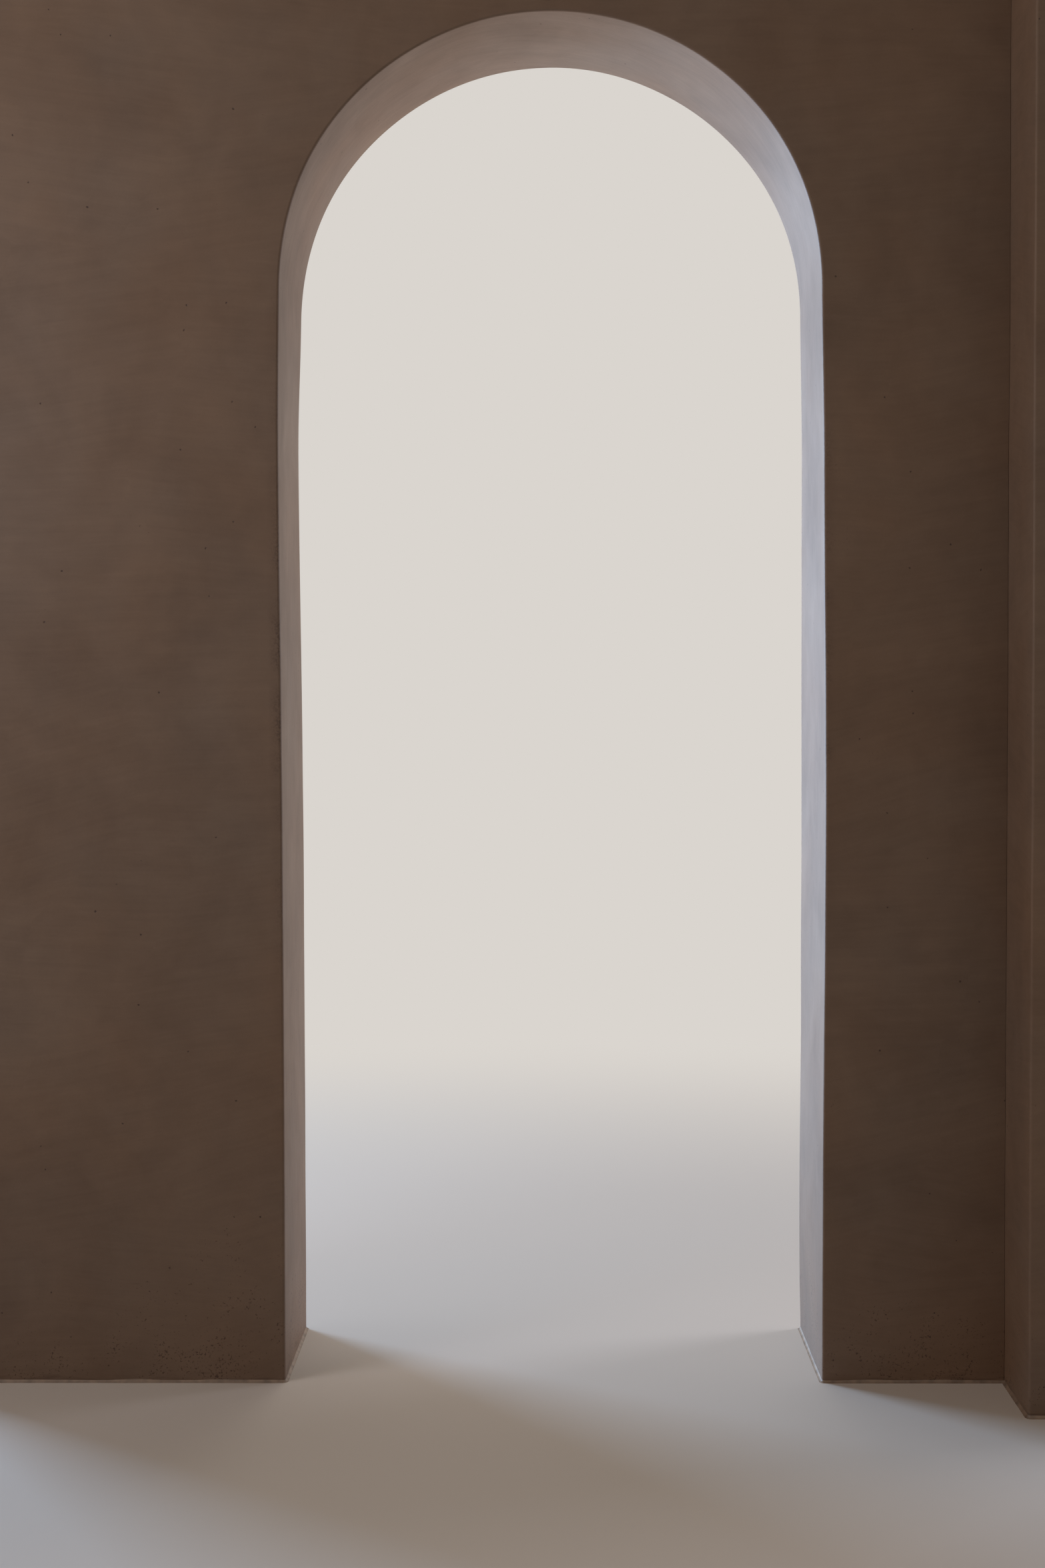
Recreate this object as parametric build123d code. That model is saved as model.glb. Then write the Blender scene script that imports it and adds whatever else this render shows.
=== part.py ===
"""A plastered masonry wall with a round-headed walk-through opening and a short corner return.

Millimetres, +Z up. The front face looks along -Y. The origin is on the floor, at the middle of the
opening's width and of the whole wall's depth, the corner return included.
"""

from build123d import *
import os

# Driving dimensions
opening_width = 990
springing_height = 2005
wall_height = 3000
wall_thickness = 350
pier_width = 685
corner_offset = 335
return_length = 200
coat_thickness = 18
arris_radius = 5
bead_leg = 5
bead_hollow = 0.37

# How close two measurements are when they are the same
same = 0.01

# Worked out from the driving dimensions
head_radius = opening_width / 2
core_top = wall_height - coat_thickness
core_radius = head_radius + coat_thickness
jamb_x = opening_width / 2
wall_end_x = jamb_x + pier_width
corner_x = jamb_x + corner_offset
front_y = -(wall_thickness - return_length) / 2
back_y = front_y + wall_thickness
return_y = front_y - return_length
core_front_y = front_y + coat_thickness
core_back_y = back_y - coat_thickness
core_end_x = wall_end_x - coat_thickness
core_jamb_x = jamb_x + coat_thickness


def slab(x_range, y_range, z_range):
    """A block between three pairs of planes."""
    sizes = [high - low for low, high in (x_range, y_range, z_range)]
    middles = [(low + high) / 2 for low, high in (x_range, y_range, z_range)]
    return Pos(*middles) * Box(*sizes)


def mirrored(shape):
    """The same shape on the other side of the opening."""
    return mirror(shape, about=Plane.YZ)


def rounded(block, corners):
    """A block with its upright arrises at the given plan corners rounded by hand trowel."""
    def stands_on(edge, corner):
        middle = edge.center()
        return abs(middle.X - corner[0]) < same and abs(middle.Y - corner[1]) < same

    edges = [e for e in block.edges().filter_by(Axis.Z) if any(stands_on(e, c) for c in corners)]
    return fillet(edges, arris_radius)


def head_cylinder(radius, y_range):
    """The round head's cylinder, through a layer of the wall."""
    depth = y_range[1] - y_range[0]
    middle_y = (y_range[0] + y_range[1]) / 2
    return Pos(0, middle_y, springing_height) * Rot(90, 0, 0) * Cylinder(radius, depth)


def left_spandrel(y_range, end_x):
    """The part of one layer left of the crown, from the round head up to the top coat."""
    block = slab((-end_x, 0), y_range, (springing_height, core_top))
    return block - head_cylinder(core_radius, y_range)


def right_spandrel(y_range, end_x):
    """The same right of the crown, as far as the wall's end or the inside corner."""
    block = slab((0, end_x), y_range, (springing_height, core_top))
    return block - head_cylinder(core_radius, y_range)


def masonry():
    """The blockwork: two piers, the two spandrels that meet over the crown, and the corner return."""
    core_y = (core_front_y, core_back_y)
    pier = slab((-core_end_x, -core_jamb_x), core_y, (0, springing_height))
    corner = slab(
        (corner_x + coat_thickness, core_end_x),
        (return_y + coat_thickness, core_front_y),
        (0, core_top),
    )
    return {
        "left_pier": pier,
        "right_pier": mirrored(pier),
        "left_spandrel": left_spandrel(core_y, core_end_x),
        "right_spandrel": right_spandrel(core_y, core_end_x),
        "corner_return": corner,
    }


def face_coats():
    """Plaster on the front and back faces. The front coat stops at the inside corner."""
    front = (front_y, core_front_y)
    back = (core_back_y, back_y)
    low = (0, springing_height)
    return {
        "front_plaster_left": slab((-core_end_x, -core_jamb_x), front, low),
        "front_plaster_right": slab((core_jamb_x, corner_x), front, low),
        "front_plaster_left_spandrel": left_spandrel(front, core_end_x),
        "front_plaster_right_spandrel": right_spandrel(front, corner_x),
        "back_plaster_left": slab((-core_end_x, -core_jamb_x), back, low),
        "back_plaster_right": slab((core_jamb_x, core_end_x), back, low),
        "back_plaster_left_spandrel": left_spandrel(back, core_end_x),
        "back_plaster_right_spandrel": right_spandrel(back, core_end_x),
    }


def soffit_half():
    """The left half of the round head's lining: a quarter ring with rounded arrises."""
    section = Plane.XZ.offset(-front_y) * Pos(0, springing_height)
    ring = Circle(core_radius) - Circle(head_radius)
    quarter = ring & (Pos(-core_radius / 2, core_radius / 2) * Rectangle(core_radius, core_radius))
    lining = extrude(section * quarter, -wall_thickness)
    round_edges = lining.edges().filter_by(GeomType.CIRCLE)
    arrises = [edge for edge in round_edges if abs(edge.radius - head_radius) < same]
    return fillet(arrises, arris_radius)


def opening_lining():
    """Plaster inside the opening: two reveals and the soffit, as deep as the wall."""
    reveal = rounded(
        slab((-core_jamb_x, -jamb_x), (front_y, back_y), (0, springing_height)),
        [(-jamb_x, front_y), (-jamb_x, back_y)],
    )
    soffit = soffit_half()
    return {
        "left_reveal": reveal,
        "right_reveal": mirrored(reveal),
        "arch_soffit_left": soffit,
        "arch_soffit_right": mirrored(soffit),
    }


def end_coats():
    """Plaster on the wall's two ends and on the corner return, with the outer arrises rounded."""
    full = (0, core_top)
    left_end = rounded(
        slab((-wall_end_x, -core_end_x), (front_y, back_y), full),
        [(-wall_end_x, front_y), (-wall_end_x, back_y)],
    )
    right_end = rounded(
        slab((core_end_x, wall_end_x), (return_y, back_y), full),
        [(wall_end_x, return_y), (wall_end_x, back_y)],
    )
    return_end = rounded(
        slab((corner_x, core_end_x), (return_y, return_y + coat_thickness), full),
        [(corner_x, return_y)],
    )
    return_face = slab(
        (corner_x, corner_x + coat_thickness), (return_y + coat_thickness, core_front_y), full
    )
    return {
        "left_end_plaster": left_end,
        "right_end_plaster": right_end,
        "return_end_plaster": return_end,
        "return_face_plaster": return_face,
    }


def top_coat():
    """The plastered top over both piers, the crown and the return, with its outer arrises rounded."""
    outline = [
        (-wall_end_x, front_y),
        (corner_x, front_y),
        (corner_x, return_y),
        (wall_end_x, return_y),
        (wall_end_x, back_y),
        (-wall_end_x, back_y),
    ]
    coat = extrude(Plane.XY.offset(core_top) * make_face(Polyline(*outline, close=True)), coat_thickness)
    outer = [point for i, point in enumerate(outline) if i != 1]
    coat = rounded(coat, outer)
    return fillet(coat.faces().sort_by(Axis.Z)[-1].edges(), arris_radius)


def foot_bead(corners, radii):
    """A tooled sealant bead along a pier's foot, run with the wall on its right, square at its ends."""
    path = FilletPolyline(*[Vector(x, y) for x, y in corners], radius=radii)
    along = path % 0
    section = Plane(origin=path @ 0, x_dir=Vector(0, 0, 1).cross(along), z_dir=along)
    legs = Polyline((0, bead_leg), (0, 0), (bead_leg, 0))
    hollow = bead_leg * bead_hollow
    tooled = ThreePointArc((bead_leg, 0), (hollow, hollow), (0, bead_leg))
    return sweep(section * make_face([legs, tooled]), path, transition=Transition.RIGHT)


def foot_beads():
    """One bead a pier, round its arrises and the inside corner, stopping short of the wall's ends."""
    end_x = wall_end_x - arris_radius
    left = [(-end_x, back_y), (-jamb_x, back_y), (-jamb_x, front_y), (-end_x, front_y)]
    right = [
        (end_x, return_y),
        (corner_x, return_y),
        (corner_x, front_y),
        (jamb_x, front_y),
        (jamb_x, back_y),
        (end_x, back_y),
    ]
    turn = arris_radius
    return {
        "left_foot_bead": foot_bead(left, [turn, turn]),
        "right_foot_bead": foot_bead(right, [turn, 0, turn, turn]),
    }


def build():
    """Every piece by its name."""
    return {
        **masonry(),
        **face_coats(),
        **opening_lining(),
        **end_coats(),
        "top_plaster": top_coat(),
        **foot_beads(),
    }


os.makedirs("parts", exist_ok=True)
for name, shape in build().items():
    export_step(shape, f"parts/{name}.step")
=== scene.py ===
"""The finish of a lime-plastered wall with a round-headed walk-through opening.

Metres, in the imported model's frame: the front face looks along -Y, the ground is Z = 0 and the middle of
the opening is X = 0. Each coat of plaster is a closed shape over the blockwork, waved as a hand trowel
leaves it.
"""

from math import atan2, hypot, pi, radians

import bmesh
import bpy
from mathutils import Matrix, Vector, noise


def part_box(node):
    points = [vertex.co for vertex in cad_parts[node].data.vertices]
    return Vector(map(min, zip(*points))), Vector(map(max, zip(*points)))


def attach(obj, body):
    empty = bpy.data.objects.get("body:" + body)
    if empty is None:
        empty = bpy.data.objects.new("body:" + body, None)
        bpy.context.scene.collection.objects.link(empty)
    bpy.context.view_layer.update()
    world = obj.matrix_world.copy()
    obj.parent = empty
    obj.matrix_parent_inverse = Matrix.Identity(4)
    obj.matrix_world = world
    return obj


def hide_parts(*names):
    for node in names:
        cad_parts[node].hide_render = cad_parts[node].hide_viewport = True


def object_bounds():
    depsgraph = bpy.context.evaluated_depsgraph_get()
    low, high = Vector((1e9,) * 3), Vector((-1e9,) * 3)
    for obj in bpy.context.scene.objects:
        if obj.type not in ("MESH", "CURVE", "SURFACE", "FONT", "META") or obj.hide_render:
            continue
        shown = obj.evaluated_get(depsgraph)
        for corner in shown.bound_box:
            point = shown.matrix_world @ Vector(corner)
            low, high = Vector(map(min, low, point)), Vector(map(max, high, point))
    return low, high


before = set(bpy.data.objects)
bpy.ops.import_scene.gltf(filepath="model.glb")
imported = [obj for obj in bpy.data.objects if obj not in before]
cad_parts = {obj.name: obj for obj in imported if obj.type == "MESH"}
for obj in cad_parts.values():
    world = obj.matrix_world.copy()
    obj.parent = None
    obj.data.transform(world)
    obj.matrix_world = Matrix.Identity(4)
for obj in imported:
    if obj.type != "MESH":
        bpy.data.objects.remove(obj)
cad_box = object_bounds()

MM = 0.001

# Places read from the frame
front_y, back_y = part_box("left_reveal")[0].y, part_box("left_reveal")[1].y
jamb_x, core_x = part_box("right_reveal")[0].x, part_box("right_reveal")[1].x
spring_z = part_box("left_reveal")[1].z
end_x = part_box("right_end_plaster")[1].x
core_end_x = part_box("right_end_plaster")[0].x
corner_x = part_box("return_face_plaster")[0].x
return_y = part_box("return_end_plaster")[0].y
coat_top, top_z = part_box("top_plaster")[0].z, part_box("top_plaster")[1].z
coat = core_x - jamb_x

# How fine the shapes are cut: the side of a square on the faces, and steps round an arris and the head
SQUARE = 25 * MM
ARRIS_STEPS = 5
HEAD_STEPS = 120

# How close two points are when they are one, how much of an axis a face's normal has when the face looks
# along it, and the bend over which an edge stays sharp
WELD = 0.001 * MM
FACING = 0.7
SHARP_ANGLE = radians(35)

# The trowel's work: rounded arrises, the joint in the inside corner, and a long swell and a short ripple
# that die out towards the foot, where the wall was trued against the ground. The swell starts elsewhere
# in the noise than the ripple, so that the one doesn't follow the other.
ARRIS_RADIUS = 5 * MM
CORNER_JOINT = 0.6 * MM
SWELL_LENGTH = 620 * MM
SWELL_DEPTH = Vector((1.2, 3.4, 1.2)) * MM
SWELL_START = Vector((3.1, 0.7, 5.2))
RIPPLE_LENGTH = 190 * MM
RIPPLE_DEPTH = Vector((0.6, 1.0, 0.6)) * MM
TRUE_FOOT = 110 * MM

# The finger's work on the foot bead: its waver sideways, and the share by which its height varies
BEAD_WAVER_LENGTH = 55 * MM
BEAD_WAVER = 0.45 * MM
BEAD_RISE = 0.35

# The noise that waves the coats would start from the clock, and differ in each run, without a seed
SWELL_SEED = 2
noise.seed_set(SWELL_SEED)

# Where the opening's arrises wander: side, height, reach up and down (metres), then how far outwards
# from a true line at the front and at the back (millimetres). It fades out over a strip of the faces.
WANDERINGS = (
    (1, 2.45, 0.30, -0.6, -2.6),
    (1, 2.03, 0.30, -4.6, -3.8),
    (1, 1.06, 0.85, 4.2, 0.6),
    (1, 0.20, 0.45, 0.4, -2.8),
    (-1, 2.38, 0.40, -0.8, -3.2),
    (-1, 2.03, 0.28, -3.0, -4.6),
    (-1, 1.68, 0.50, 1.2, 3.0),
    (-1, 0.75, 0.75, -2.2, -1.5),
)
WANDER_FADE = 300 * MM


def smooth(amount):
    """A soft start and end between 0 and 1."""
    t = min(max(amount, 0.0), 1.0)
    return t * t * (3 - 2 * t)


def off_middle(point):
    """How far a point lies from the opening's middle line, or, in the head, from the head's centre."""
    return hypot(point.x, max(point.z - spring_z, 0.0))


def wandering(point):
    """How far the opening's edge at a point wanders from a true line, inwards or outwards."""
    near_edge = smooth(1 - abs(off_middle(point) - jamb_x) / WANDER_FADE)
    if not near_edge:
        return Vector()
    back = (point.y - front_y) / (back_y - front_y)
    out = 0.0
    for side, height, reach, at_front, at_back in WANDERINGS:
        if point.x * side > 0:
            amount = at_front + (at_back - at_front) * back
            out += amount * MM * smooth(1 - abs(point.z - height) / reach)
    outwards = Vector((point.x, 0, max(point.z - spring_z, 0))).normalized()
    return outwards * out * near_edge


def unevenness(point):
    """What the hand trowel left at a point: the same for all the coats that meet there."""
    swell = noise.noise_vector(point / SWELL_LENGTH + SWELL_START) * SWELL_DEPTH
    ripple = noise.noise_vector(point / RIPPLE_LENGTH) * RIPPLE_DEPTH
    return (swell + ripple + wandering(point)) * smooth(point.z / TRUE_FOOT)


def kept_inside(point):
    """The nearest point that doesn't stand out of the wall's true size."""
    low, high = cad_box
    return Vector([min(max(point[i], low[i]), high[i]) for i in range(3)])


def trowel(bm):
    """Waves a shape as a hand trowel would."""
    for vert in bm.verts:
        vert.co = kept_inside(vert.co + unevenness(vert.co))


def cut_across(bm, axis, low, high):
    """Cuts a shape across an axis into strips one square wide, on lines that all the coats share."""
    normal = Vector((axis == 0, axis == 1, axis == 2))
    for line in range(int(low / SQUARE) - 1, int(high / SQUARE) + 2):
        if low + MM < line * SQUARE < high - MM:
            geometry = bm.verts[:] + bm.edges[:] + bm.faces[:]
            bmesh.ops.bisect_plane(
                bm, geom=geometry, dist=WELD, plane_co=normal * line * SQUARE, plane_no=normal
            )


def round_arrises(bm, is_arris):
    """Rounds the edges of a coat that a test of their two ends picks out."""
    arrises = [edge for edge in bm.edges if is_arris(*(vert.co for vert in edge.verts))]
    bmesh.ops.bevel(
        bm, geom=arrises, offset=ARRIS_RADIUS, offset_type="OFFSET", segments=ARRIS_STEPS,
        profile=0.5, affect="EDGES", material=-1,
    )


def pulled(bm, face, by):
    """Pulls a face out into a solid, and returns the face at its far end."""
    made = bmesh.ops.extrude_face_region(bm, geom=[face, *face.edges])["geom"]
    bmesh.ops.translate(bm, verts=[v for v in made if isinstance(v, bmesh.types.BMVert)], vec=by)
    return next(f for f in made if isinstance(f, bmesh.types.BMFace))


def drawn_on(bm, vert, *stops):
    """Draws an outline on from a point through each stop, and returns its last point."""
    for stop in stops:
        vert = bmesh.ops.extrude_vert_indiv(bm, verts=[vert])["verts"][0]
        vert.co = Vector(stop)
    return vert


def face_coat(outer_y, inner_y, left_x, right_x):
    """A coat on the front or back face, cut out round the opening's lining."""
    bm = bmesh.new()
    foot = bm.verts.new((-core_x, outer_y, 0))
    spring = drawn_on(bm, foot, (-core_x, outer_y, spring_z))
    head = bmesh.ops.spin(
        bm, geom=[spring], cent=(0, 0, spring_z), axis=(0, 1, 0), angle=pi, steps=HEAD_STEPS
    )["geom_last"]
    last = drawn_on(
        bm, head[0],
        (core_x, outer_y, 0), (right_x, outer_y, 0), (right_x, outer_y, coat_top),
        (left_x, outer_y, coat_top), (left_x, outer_y, 0),
    )
    bm.edges.new((last, foot))
    face = bmesh.ops.contextual_create(bm, geom=bm.edges[:])["faces"][0]
    pulled(bm, face, (0, inner_y - outer_y, 0))
    cut_across(bm, 0, left_x, right_x)
    cut_across(bm, 2, 0, coat_top)
    return bm


def lining():
    """Plaster in the opening: one section run up a jamb, turned over the head and run down again."""
    bm = bmesh.new()
    section = [(-core_x, front_y), (-jamb_x, front_y), (-jamb_x, back_y), (-core_x, back_y)]
    face = bm.faces.new([bm.verts.new((x, y, 0)) for x, y in section])
    top = pulled(bm, face, (0, 0, spring_z))
    turned = bmesh.ops.spin(
        bm, geom=[top, *top.edges, *top.verts], cent=(0, 0, spring_z), axis=(0, 1, 0),
        angle=pi, steps=HEAD_STEPS,
    )["geom_last"]
    far = next(f for f in turned if isinstance(f, bmesh.types.BMFace))
    pulled(bm, far, (0, 0, -spring_z))

    def is_arris(a, b):
        at_jamb = max(abs(off_middle(a) - jamb_x), abs(off_middle(b) - jamb_x)) < MM
        return at_jamb and abs(a.y - b.y) < MM

    round_arrises(bm, is_arris)
    cut_across(bm, 2, 0, spring_z)
    cut_across(bm, 1, front_y, back_y)
    return bm


def upright_coat(low, high, arrises):
    """A flat coat from the ground up to the top coat, with the arrises at some plan corners rounded."""
    bm = bmesh.new()
    corners = [(low[0], low[1]), (high[0], low[1]), (high[0], high[1]), (low[0], high[1])]
    face = bm.faces.new([bm.verts.new((x, y, 0)) for x, y in corners])
    pulled(bm, face, (0, 0, coat_top))

    def stands_on(point, corner):
        return hypot(point.x - corner[0], point.y - corner[1]) < MM

    round_arrises(bm, lambda a, b: any(stands_on(a, c) and stands_on(b, c) for c in arrises))
    cut_across(bm, 0, low[0], high[0])
    cut_across(bm, 1, low[1], high[1])
    cut_across(bm, 2, 0, coat_top)
    return bm


def top_coat():
    """The plastered top, over the wall and the return."""
    bm = bmesh.new()
    plan = [
        (-end_x, front_y), (corner_x, front_y), (corner_x, return_y),
        (end_x, return_y), (end_x, back_y), (-end_x, back_y),
    ]
    face = bm.faces.new([bm.verts.new((x, y, coat_top)) for x, y in plan])
    pulled(bm, face, (0, 0, top_z - coat_top))
    inside_corner = Vector((corner_x, front_y))

    def is_arris(a, b):
        if abs(a.z - b.z) > MM:
            return (a.xy - inside_corner).length > MM
        return min(a.z, b.z) > top_z - MM

    round_arrises(bm, is_arris)
    cut_across(bm, 0, -end_x, end_x)
    cut_across(bm, 1, return_y, back_y)
    return bm


def foot_bead(node):
    """The bead in a foot joint, from its CAD solid, with the waver of the finger that tooled it."""
    bm = bmesh.new()
    bm.from_mesh(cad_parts[node].data)
    bmesh.ops.remove_doubles(bm, verts=bm.verts[:], dist=WELD)
    cut_across(bm, 0, -end_x, end_x)
    cut_across(bm, 1, return_y, back_y)
    for vert in bm.verts:
        waver = noise.noise_vector(Vector((vert.co.x, vert.co.y, 0)) / BEAD_WAVER_LENGTH)
        vert.co.x += waver.x * BEAD_WAVER
        vert.co.y += waver.y * BEAD_WAVER
        vert.co.z *= 1 + waver.z * BEAD_RISE
    return bm


def along_opening(point):
    """How far a point lies along the opening: up the left jamb, over the head, down the right jamb."""
    if point.z > spring_z:
        return spring_z + (pi - atan2(point.z - spring_z, point.x)) * jamb_x
    return point.z if point.x < 0 else 2 * spring_z + pi * jamb_x - point.z


def map_strokes(bm, in_opening):
    """Lays out the way the trowel ran: level on the faces, but along the jambs and the head inside."""
    strokes = bm.loops.layers.uv.new("strokes")
    for face in bm.faces:
        faces_x, faces_y, faces_z = (abs(n) for n in face.normal)
        for loop in face.loops:
            x, y, z = loop.vert.co
            if in_opening and faces_y < FACING:
                loop[strokes].uv = (along_opening(loop.vert.co), y)
            elif faces_z > FACING:
                loop[strokes].uv = (x, y)
            elif faces_y > faces_x:
                loop[strokes].uv = (x, z)
            else:
                loop[strokes].uv = (y, z)


def finished(bm, name, material, slot, *nodes):
    """Makes a built shape a piece that stands for CAD nodes and rides with the wall."""
    bmesh.ops.recalc_face_normals(bm, faces=bm.faces[:])
    bm.normal_update()
    map_strokes(bm, slot == "lining_plaster")
    trowel(bm)
    mesh = bpy.data.meshes.new(name)
    bm.to_mesh(mesh)
    bm.free()
    mesh.shade_smooth()
    mesh.set_sharp_from_angle(angle=SHARP_ANGLE)
    mesh.materials.append(material)
    piece = bpy.data.objects.new(name, mesh)
    piece.modifiers.new("true_flats", "WEIGHTED_NORMAL").keep_sharp = True
    bpy.context.scene.collection.objects.link(piece)
    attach(piece, "root")
    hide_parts(*nodes)


# Sizes of the plaster's clouds, of finer mottling and of the slow drift in its warmth
CLOUD = 260 * MM
MOTTLE = 70 * MM
DRIFT = 480 * MM

# Sizes of the trowel's marks: an arm's sweep and its slants, then the streaks and scratches in it
SWEEP = 340 * MM
SLANT_DOWN, SLANT_UP = radians(-16), radians(9)
STREAK_LENGTH, STREAK_WIDTH = 210 * MM, 15 * MM
SCRATCH_LENGTH, SCRATCH_WIDTH = 60 * MM, 5 * MM

# Sizes of sand, specks and pinholes, the share of a pitch that a pinhole's rim is ragged by, and the
# share of places that have a pinhole
GRAIN = 4 * MM
SPECK = 4 * MM
PINHOLE_PITCH = 44 * MM
PINHOLE_RADIUS = 1.9 * MM
PINHOLE_RAGGED = 0.1
PINHOLE_SHARE = 0.16

# Sizes of the dirt: how high specks and smears reach, and how far beside the opening scuffs do
SPECK_HEIGHT = 320 * MM
SCUFF_REACH = 300 * MM
SMEAR_LENGTH, SMEAR_WIDTH = 90 * MM, 12 * MM
SMEAR_HEIGHT = 28 * MM
DUST = 26 * MM

# Hands' grime: how far it reaches beside the opening, where it starts above the ground, its middle, and
# how far from its middle it stays full
GRIME_WIDTH = 24 * MM
GRIME_LOW, GRIME_MIDDLE = 550 * MM, 1350 * MM
GRIME_FULL = 100 * MM

# How strong the dirt is: what the foot adds to specks and to smears, how much denser the specks are
# beside the opening, how far a speck stands out of the rest, and how much dirt covers the plaster
SPLASHED, SMEARED = 0.15, 0.34
SCUFFED = 1.3
SPOT_STRENGTH = 1.5
DIRT_COVER = 0.6

# Sizes of the blocks
BLOCK_LENGTH, COURSE_HEIGHT = 450 * MM, 225 * MM
MORTAR_JOINT = 10 * MM

# The sockets of a colour Mix node, by number, as a Mix of another kind has sockets of the same names
FACTOR, FIRST_COLOUR, SECOND_COLOUR, MIXED_COLOUR = 0, 6, 7, 2


def linear(hex_colour):
    """An sRGB hex colour as Blender's linear colour."""
    parts = [int(hex_colour[i:i + 2], 16) / 255 for i in (1, 3, 5)]
    return [p / 12.92 if p <= 0.04045 else ((p + 0.055) / 1.055) ** 2.4 for p in parts] + [1.0]


def add(tree, kind, inputs=None, **settings):
    """Adds a shader node with its settings, and links its inputs or sets them to plain values."""
    made = tree.nodes.new("ShaderNode" + kind)
    for name, value in settings.items():
        setattr(made, name, value)
    for name, value in (inputs or {}).items():
        if isinstance(value, bpy.types.Node):
            value = value.outputs[0]
        if isinstance(value, bpy.types.NodeSocket):
            tree.links.new(value, made.inputs[name])
        else:
            made.inputs[name].default_value = value
    return made


def new_material(name):
    """An empty material and its node tree."""
    material = bpy.data.materials.new(name)
    material.use_nodes = True
    material.node_tree.nodes.clear()
    return material, material.node_tree


def summed(tree, total, *shares):
    """A total with patterns added to it, each times its share."""
    for pattern, share in shares:
        total = add(tree, "Math", {0: pattern, 1: share, 2: total}, operation="MULTIPLY_ADD")
    return total


def away_from(tree, coordinate, middle):
    """How far a coordinate lies from a middle, on either side of it."""
    offset = add(tree, "Math", {0: coordinate, 1: middle}, operation="SUBTRACT")
    return add(tree, "Math", {0: offset}, operation="ABSOLUTE")


def trowel_marks(tree, strokes):
    """Long streaks and short scratches, in sweeps of the arm that each have a slant of their own."""
    sweep = add(tree, "TexVoronoi", {"Vector": strokes, "Scale": 1 / SWEEP}, voronoi_dimensions="2D")
    slant = add(tree, "MapRange", {
        "Value": sweep.outputs["Color"], "From Min": 0.2, "From Max": 0.8,
        "To Min": SLANT_DOWN, "To Max": SLANT_UP,
    })
    slanted = add(tree, "VectorRotate", {
        "Vector": strokes, "Center": sweep.outputs["Position"], "Angle": slant,
    }, rotation_type="Z_AXIS")
    marks = []
    for length, width, settings in (
        (STREAK_LENGTH, STREAK_WIDTH, {"Detail": 3.0, "Roughness": 0.6, "Distortion": 0.3}),
        (SCRATCH_LENGTH, SCRATCH_WIDTH, {"Detail": 2.0}),
    ):
        drawn_out = add(tree, "Mapping", {"Vector": slanted, "Scale": (1 / length, 1 / width, 1)})
        marks.append(add(
            tree, "TexNoise", {"Vector": drawn_out, "Scale": 1.0, **settings}, noise_dimensions="2D"
        ))
    return marks


def pinhole_marks(tree, strokes, specks):
    """Pinholes that air left in the plaster, here and there, with ragged rims."""
    cells = add(tree, "TexVoronoi", {
        "Vector": strokes, "Scale": 1 / PINHOLE_PITCH,
    }, voronoi_dimensions="2D")
    from_centre = summed(tree, cells, (specks, PINHOLE_RAGGED))
    # The specks' noise lies about a half, so on the whole it adds half its share to the distance
    rim, added = PINHOLE_RADIUS / PINHOLE_PITCH, 0.5 * PINHOLE_RAGGED
    inside = add(tree, "MapRange", {
        "Value": from_centre, "From Min": rim + added, "From Max": 0.5 * rim + added,
    })
    has_one = add(tree, "Math", {
        0: cells.outputs["Color"], 1: 1 - PINHOLE_SHARE,
    }, operation="GREATER_THAN")
    return add(tree, "Math", {0: inside, 1: has_one}, operation="MULTIPLY")


def splashes(tree, sideways, height, clouds, mottle, specks):
    """Specks splashed and scuffed on the foot of the wall, denser beside the opening."""
    low_down = add(tree, "MapRange", {
        "Value": height, "From Min": SPECK_HEIGHT, "From Max": 0.0, "To Max": SPLASHED,
    })
    by_the_way = add(tree, "MapRange", {
        "Value": sideways, "From Min": jamb_x + SCUFF_REACH, "From Max": jamb_x,
        "To Min": 1.0, "To Max": SCUFFED,
    })
    density = add(tree, "Math", {0: low_down, 1: by_the_way}, operation="MULTIPLY")
    spots = summed(tree, density, (specks, 1.0), (clouds, 0.3), (mottle, 0.4))
    return add(tree, "MapRange", {
        "Value": spots, "From Min": 1.13, "From Max": 1.21, "To Max": SPOT_STRENGTH,
    })


def smears(tree, place, height):
    """Level smears in the lowest few centimetres, where a wet mop went by."""
    at_foot = add(tree, "MapRange", {
        "Value": height, "From Min": SMEAR_HEIGHT, "From Max": 0.0, "To Max": SMEARED,
    })
    level = add(tree, "Mapping", {
        "Vector": place, "Scale": (1 / SMEAR_LENGTH, 1 / SMEAR_LENGTH, 1 / SMEAR_WIDTH),
    })
    wiped = add(tree, "TexNoise", {"Vector": level, "Scale": 1.0, "Detail": 3.0})
    wiped = add(tree, "Math", {0: wiped, 1: at_foot}, operation="ADD")
    return add(tree, "MapRange", {"Value": wiped, "From Min": 0.74, "From Max": 0.96})


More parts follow.
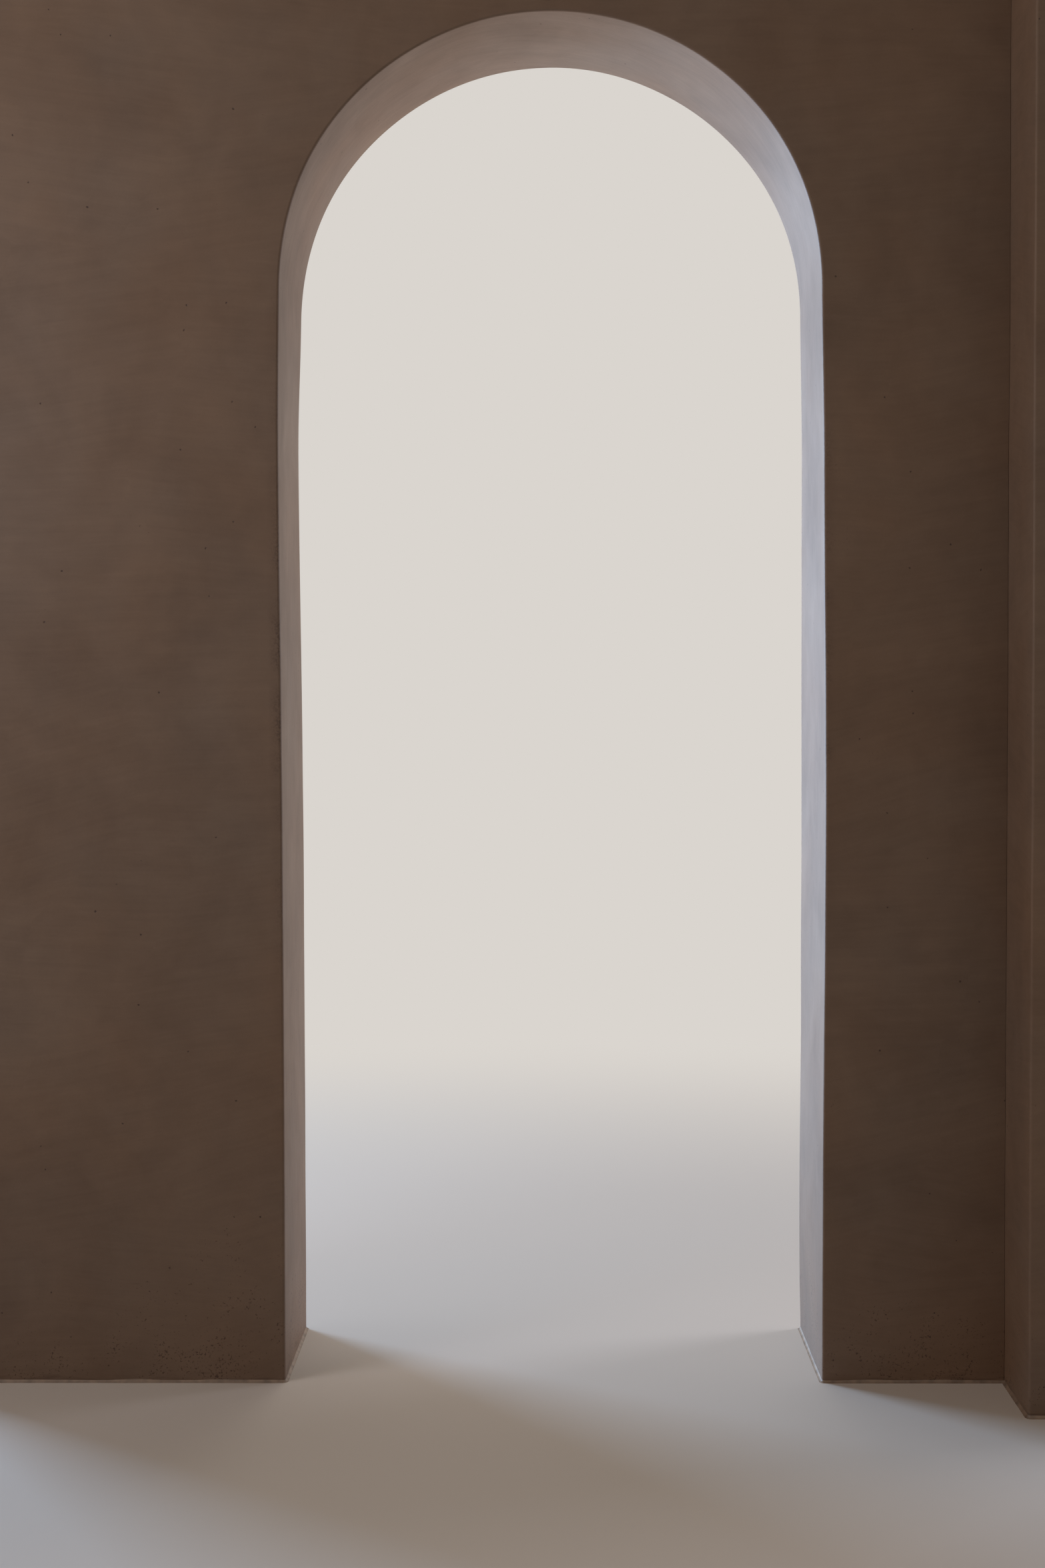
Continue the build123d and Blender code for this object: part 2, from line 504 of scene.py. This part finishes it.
def grime(tree, sideways, depth, height, mottle, specks):
    """What hands leave on the opening's arrises, and on the faces close beside them."""
    middle_y, face_depth = (front_y + back_y) / 2, (back_y - front_y) / 2
    beside = add(tree, "MapRange", {
        "Value": sideways, "From Min": jamb_x + GRIME_WIDTH, "From Max": jamb_x,
    })
    at_face = add(tree, "MapRange", {
        "Value": away_from(tree, depth, middle_y),
        "From Min": face_depth - ARRIS_RADIUS, "From Max": face_depth,
    })
    within_reach = add(tree, "MapRange", {
        "Value": away_from(tree, height, GRIME_MIDDLE),
        "From Min": GRIME_MIDDLE - GRIME_LOW, "From Max": GRIME_FULL,
    })
    rubbed = add(tree, "MapRange", {"Value": mottle, "From Min": 0.35, "From Max": 0.65})
    crumbs = add(tree, "MapRange", {
        "Value": specks, "From Min": 0.44, "From Max": 0.6, "To Min": 0.5, "To Max": 1.6,
    })
    left = beside
    for share in (at_face, within_reach, rubbed, crumbs):
        left = add(tree, "Math", {0: left, 1: share}, operation="MULTIPLY")
    return left


def lime_plaster(name):
    """Taupe lime plaster, laid on in overlapping sweeps of a steel trowel and left smooth.

    The eye sees soft clouds where it dried paler or darker, a drift of warmth, level streaks that catch
    the light, a few pinholes darkened with painted shade, and dirt low down and where hands go.
    """
    material, tree = new_material(name)
    place = add(tree, "TexCoord").outputs["Object"]
    strokes = add(tree, "UVMap", uv_map="strokes")
    across, depth, height = add(tree, "SeparateXYZ", {"Vector": place}).outputs
    sideways = add(tree, "Math", {0: across}, operation="ABSOLUTE")

    # Patterns, with the sand drawn coarser than its grains so that it shows
    clouds = add(tree, "TexNoise", {
        "Vector": place, "Scale": 1 / CLOUD, "Detail": 4.0, "Roughness": 0.55, "Distortion": 0.5,
    })
    mottle = add(tree, "TexNoise", {
        "Vector": place, "Scale": 1 / MOTTLE, "Detail": 2.0, "Distortion": 0.4,
    })
    drift = add(tree, "TexNoise", {
        "Vector": place, "Scale": 1 / DRIFT, "Detail": 3.0, "Roughness": 0.6,
    })
    grain = add(tree, "TexNoise", {"Vector": place, "Scale": 1 / GRAIN, "Detail": 2.0})
    specks = add(tree, "TexNoise", {
        "Vector": place, "Scale": 1 / SPECK, "Detail": 3.0, "Distortion": 0.6,
    })
    streaks, scratches = trowel_marks(tree, strokes)
    pinholes = pinhole_marks(tree, strokes, specks)

    # Colour: pale or dark with the patterns, then warmer or cooler
    tone = summed(
        tree, 0.0, (clouds, 0.66), (mottle, 0.24), (streaks, 0.17), (scratches, 0.07), (grain, 0.1)
    )
    tone = add(tree, "MapRange", {"Value": tone, "From Min": 0.32, "From Max": 0.92})
    pale_or_dark = add(tree, "ValToRGB", {"Fac": tone})
    dark_end, pale_end = pale_or_dark.color_ramp.elements
    dark_end.color = linear("#614f42")
    pale_end.color = linear("#806c5c")
    warmth = add(tree, "MapRange", {"Value": drift, "From Min": 0.3, "From Max": 0.7})
    warmed = add(tree, "Mix", {
        FACTOR: warmth, FIRST_COLOUR: pale_or_dark, SECOND_COLOUR: linear("#fff1e2"),
    }, data_type="RGBA", blend_type="MULTIPLY")

    # Brown dirt over it, and the same brown painted into the pinholes as painted shade
    dirt = splashes(tree, sideways, height, clouds, mottle, specks)
    for other in (
        smears(tree, place, height),
        grime(tree, sideways, depth, height, mottle, specks),
    ):
        dirt = add(tree, "Math", {0: dirt, 1: other}, operation="MAXIMUM")
    dirt = add(tree, "Math", {0: dirt, 1: DIRT_COVER}, operation="MULTIPLY")
    # The pinholes' part of this brown is painted shade, not dirt
    brown = add(tree, "Math", {0: dirt, 1: pinholes}, operation="MAXIMUM")
    dirt_and_painted_shade = add(tree, "Mix", {
        FACTOR: brown, FIRST_COLOUR: warmed.outputs[MIXED_COLOUR], SECOND_COLOUR: linear("#402b20"),
    }, data_type="RGBA")

    # Relief in millimetres, and a duller shine where the tone is dark
    relief = summed(
        tree, 0.0, (clouds, 1.6), (mottle, 0.5), (streaks, 0.2), (scratches, 0.05), (grain, 0.05),
        (pinholes, -0.6),
    )
    bump = add(tree, "Bump", {"Height": relief, "Distance": MM})
    dullness = add(tree, "MapRange", {"Value": tone, "To Min": 0.67, "To Max": 0.53})
    shader = add(tree, "BsdfPrincipled", {
        "Base Color": dirt_and_painted_shade.outputs[MIXED_COLOUR], "Roughness": dullness, "Normal": bump,
    })
    add(tree, "OutputMaterial", {"Surface": shader})
    return material


def jointing(name):
    """Pale sealant, smoothed into the foot joint with a wet finger, and dulled by dust."""
    material, tree = new_material(name)
    place = add(tree, "TexCoord").outputs["Object"]
    dust = add(tree, "TexNoise", {"Vector": place, "Scale": 1 / DUST, "Detail": 3.0})
    dulled = add(tree, "ValToRGB", {"Fac": dust})
    dusty_end, clean_end = dulled.color_ramp.elements
    dusty_end.position, dusty_end.color = 0.35, linear("#6d5d50")
    clean_end.position, clean_end.color = 0.6, linear("#8f7c6b")
    bump = add(tree, "Bump", {"Height": dust, "Distance": 0.4 * MM})
    shader = add(tree, "BsdfPrincipled", {"Base Color": dulled, "Roughness": 0.5, "Normal": bump})
    add(tree, "OutputMaterial", {"Surface": shader})
    return material


def blockwork(name):
    """Grey concrete blocks in mortar: rough, and hidden under the plaster."""
    material, tree = new_material(name)
    place = add(tree, "TexCoord").outputs["Object"]
    upright = add(tree, "Mapping", {"Vector": place, "Rotation": (radians(90), 0, 0)})
    blocks = add(tree, "TexBrick", {
        "Vector": upright, "Color1": linear("#8c8a86"), "Color2": linear("#7c7a77"),
        "Mortar": linear("#a5a19a"), "Scale": 1.0, "Mortar Size": MORTAR_JOINT,
        "Brick Width": BLOCK_LENGTH, "Row Height": COURSE_HEIGHT,
    })
    shader = add(tree, "BsdfPrincipled", {"Base Color": blocks, "Roughness": 0.9})
    add(tree, "OutputMaterial", {"Surface": shader})
    return material


plaster = lime_plaster("trowelled lime plaster")
sealant = jointing("finger-tooled sealant")
blocks = blockwork("laid concrete blocks")

for node in ("left_pier", "right_pier", "left_spandrel", "right_spandrel", "corner_return"):
    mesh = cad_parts[node].data
    mesh.materials.clear()
    mesh.materials.append(blocks)

finished(
    face_coat(front_y, front_y + coat, -core_end_x, corner_x - CORNER_JOINT),
    "front_coat", plaster, "wall_plaster",
    "front_plaster_left", "front_plaster_right",
    "front_plaster_left_spandrel", "front_plaster_right_spandrel",
)
finished(
    face_coat(back_y, back_y - coat, -core_end_x, core_end_x),
    "back_coat", plaster, "wall_plaster",
    "back_plaster_left", "back_plaster_right",
    "back_plaster_left_spandrel", "back_plaster_right_spandrel",
)
finished(
    lining(), "opening_lining", plaster, "lining_plaster",
    "left_reveal", "right_reveal", "arch_soffit_left", "arch_soffit_right",
)
finished(
    upright_coat((-end_x, front_y), (-core_end_x, back_y), [(-end_x, front_y), (-end_x, back_y)]),
    "left_end_coat", plaster, "wall_plaster", "left_end_plaster",
)
finished(
    upright_coat((core_end_x, return_y), (end_x, back_y), [(end_x, return_y), (end_x, back_y)]),
    "right_end_coat", plaster, "wall_plaster", "right_end_plaster",
)
finished(
    upright_coat((corner_x, return_y), (core_end_x, return_y + coat), [(corner_x, return_y)]),
    "return_end_coat", plaster, "wall_plaster", "return_end_plaster",
)
finished(
    upright_coat((corner_x, return_y + coat), (corner_x + coat, front_y + coat), []),
    "return_face_coat", plaster, "wall_plaster", "return_face_plaster",
)
finished(top_coat(), "top_coat", plaster, "wall_plaster", "top_plaster")
finished(foot_bead("left_foot_bead"), "left_bead", sealant, "foot_bead", "left_foot_bead")
finished(foot_bead("right_foot_bead"), "right_bead", sealant, "foot_bead", "right_foot_bead")

# The camera, solved from the photograph's edges: its lens and sensor (millimetres), its place across,
# in front of the front face and up, and how it is turned left, tilted down and rolled (degrees)
CAMERA_LENS, CAMERA_SENSOR = 50.0, 36.0
CAMERA_X, CAMERA_DISTANCE, CAMERA_HEIGHT = -0.0057, 3.974, 1.2534
CAMERA_TURN, CAMERA_TILT, CAMERA_ROLL = 0.689, 2.140, -0.178

camera_data = bpy.data.cameras.new("camera")
camera_data.lens = CAMERA_LENS
camera_data.sensor_width = CAMERA_SENSOR
camera = bpy.data.objects.new("camera", camera_data)
bpy.context.scene.collection.objects.link(camera)
standing = Matrix.Translation((CAMERA_X, front_y - CAMERA_DISTANCE, CAMERA_HEIGHT))
turn = Matrix.Rotation(radians(CAMERA_TURN), 4, "Z")
tilt = Matrix.Rotation(radians(90 - CAMERA_TILT), 4, "X")
roll = Matrix.Rotation(radians(CAMERA_ROLL), 4, "Z")
camera.matrix_world = standing @ (turn @ tilt) @ roll
bpy.context.scene.camera = camera


def soft_lamp(name, place, target, size, power, colour, shines=True, spread=180):
    """A large soft lamp turned to a point, which may throw its light without a shine of its own."""
    data = bpy.data.lights.new(name, "AREA")
    data.shape = "SQUARE"
    data.size = size
    data.spread = radians(spread)
    data.energy = power
    data.color = linear(colour)[:3]
    lamp = bpy.data.objects.new(name, data)
    lamp.location = place
    lamp.visible_camera = False
    lamp.visible_glossy = shines
    lamp.rotation_euler = (Vector(target) - Vector(place)).to_track_quat("-Z", "Y").to_euler()
    bpy.context.scene.collection.objects.link(lamp)


# Strong light, mostly cool, comes from behind through the opening, and weak light, mostly warm, falls
# on the front. Two lamps throw light without a shine, which would leave a bright patch in the plaster.
soft_lamp(
    "window light behind left", (-6.2, 5.6, 1.8), target=(0, 0, 0.8),
    size=2.8, power=325, colour="#bcdcff", spread=100,
)
soft_lamp(
    "soft light behind right", (5.6, 2.3, 1.6), target=(-0.2, 0.1, 1.4),
    size=2.4, power=175, colour="#eeecf6",
)
soft_lamp(
    "soft light straight behind", (0.6, 6.2, 2.4), target=(0, 0.1, 1.5),
    size=2.6, power=45, colour="#fff0de", shines=False,
)
soft_lamp(
    "light off the floor behind", (-0.9, 2.3, 0.02), target=(-0.9, 2.3, 3),
    size=2.0, power=150, colour="#eaf0ff", shines=False,
)
soft_lamp(
    "soft light overhead", (-0.3, 1.4, 7.2), target=(0, 0.6, 3),
    size=2.6, power=100, colour="#fffaf4",
)
soft_lamp(
    "soft light at the right end", (5.4, 1.2, 2.2), target=(1.2, 0, 1.5),
    size=2.0, power=22, colour="#fffaf4",
)
soft_lamp(
    "fill in front", (-3.7, -2.3, 4.0), target=(0, 0, 1.5),
    size=2.6, power=34, colour="#ffcf9f",
)
soft_lamp(
    "soft light in front left", (-2.3, -1.2, 2.1), target=(-1.1, -0.2, 2.0),
    size=0.8, power=17, colour="#c8d8ec",
)

# The stage: a pale floor that fades into the backdrop between two distances from the wall's middle, and
# a room that lights the wall faintly
BACKDROP = "#dad5cf"
FADE_START, FADE_END = 1.3, 4.0
FLOOR_RADIUS = 40
FLOOR_SIDES = 64
ROOM_LIGHT = 0.14


def looked_at(tree):
    """1 where the eye looks, straight or by a reflection, and 0 for light on its way to a surface."""
    rays = add(tree, "LightPath")
    return add(tree, "Math", {
        0: rays.outputs["Is Camera Ray"], 1: rays.outputs["Is Glossy Ray"],
    }, operation="MAXIMUM")


def studio_floor(name):
    """A pale floor, matt, which the eye sees fade into the backdrop."""
    material, tree = new_material(name)
    place = add(tree, "TexCoord").outputs["Object"]
    from_middle = add(tree, "VectorMath", {0: place}, operation="LENGTH")
    far_off = add(tree, "MapRange", {
        "Value": from_middle.outputs["Value"], "From Min": FADE_START, "From Max": FADE_END,
    }, interpolation_type="SMOOTHSTEP")
    faded = add(tree, "Math", {0: far_off, 1: looked_at(tree)}, operation="MULTIPLY")
    lit = add(tree, "BsdfPrincipled", {"Base Color": linear("#cfc9c2"), "Roughness": 0.8})
    backdrop = add(tree, "Emission", {"Color": linear(BACKDROP), "Strength": 1.0})
    surface = add(tree, "MixShader", {0: faded, 1: lit, 2: backdrop})
    add(tree, "OutputMaterial", {"Surface": surface})
    return material


bm = bmesh.new()
bmesh.ops.create_circle(bm, cap_ends=True, segments=FLOOR_SIDES, radius=FLOOR_RADIUS)
floor_mesh = bpy.data.meshes.new("floor")
bm.to_mesh(floor_mesh)
bm.free()
floor_mesh.materials.append(studio_floor("pale studio floor"))
floor = bpy.data.objects.new("floor", floor_mesh)
bpy.context.scene.collection.objects.link(floor)

world = bpy.data.worlds.new("studio")
world.use_nodes = True
bpy.context.scene.world = world
tree = world.node_tree
tree.nodes.clear()
room = add(tree, "Background", {"Color": linear("#ffe8cf"), "Strength": ROOM_LIGHT})
backdrop = add(tree, "Background", {"Color": linear(BACKDROP), "Strength": 1.0})
seen = add(tree, "MixShader", {0: looked_at(tree), 1: room, 2: backdrop})
add(tree, "OutputWorld", {"Surface": seen})

bpy.context.scene.view_settings.view_transform = "Standard"
